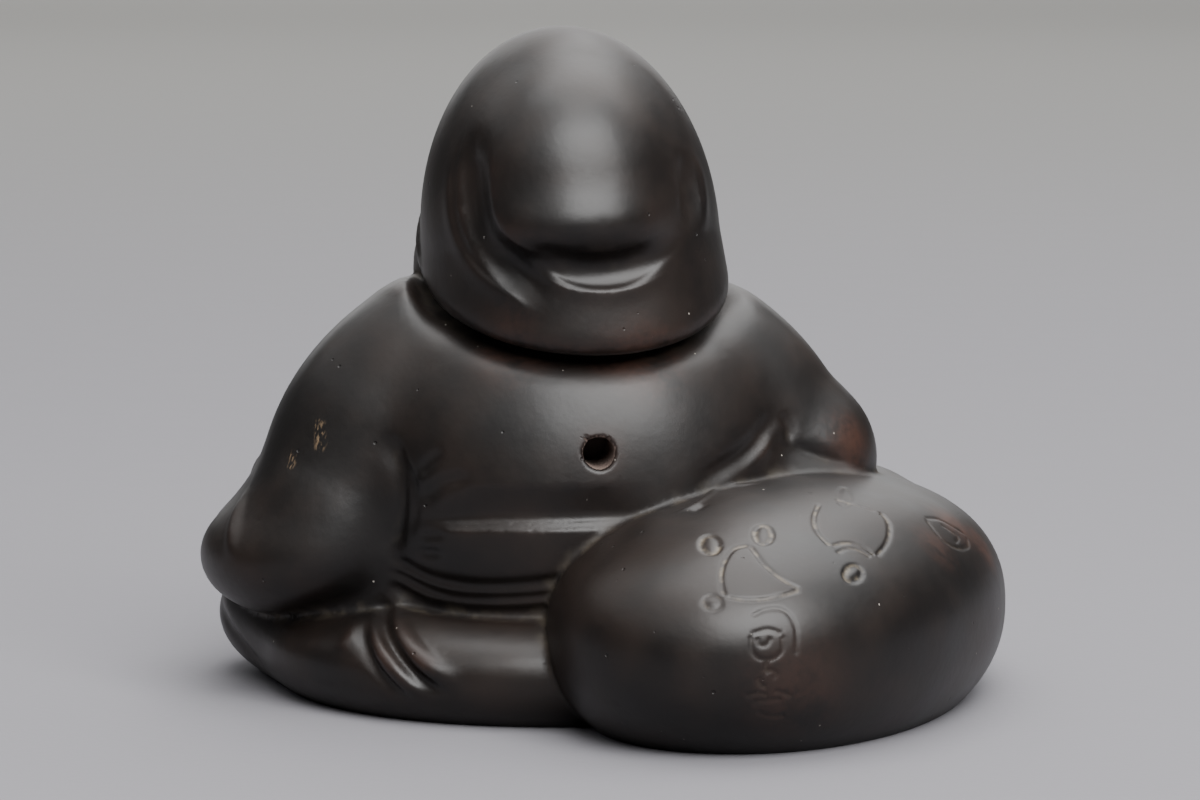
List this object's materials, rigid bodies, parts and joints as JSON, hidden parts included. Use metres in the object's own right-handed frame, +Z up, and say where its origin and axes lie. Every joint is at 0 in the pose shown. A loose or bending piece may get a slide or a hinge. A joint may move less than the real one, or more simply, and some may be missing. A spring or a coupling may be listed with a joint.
{
  "type": "daikoku statue",
  "caption": "Seated ceramic god of wealth in a soft cap, resting on a full round sack with a mallet in the other hand; small display statue.",
  "frame": {"origin": "on the flat underside, on the figure's own upright axis below the cap", "axes": "+X to the figure's left, -Y the way the figure faces, +Z up"},
  "size_m": [0.1484, 0.1312, 0.1219],
  "materials": {
    "fired_clay": "dark brown-black unglazed stoneware with a soft fire-skin sheen, worn reddish brown on its high places, with pale residue in its grooves"
  },
  "bodies": {
    "root": {"daikoku_figure": "fired_clay"}
  },
  "joints": []
}
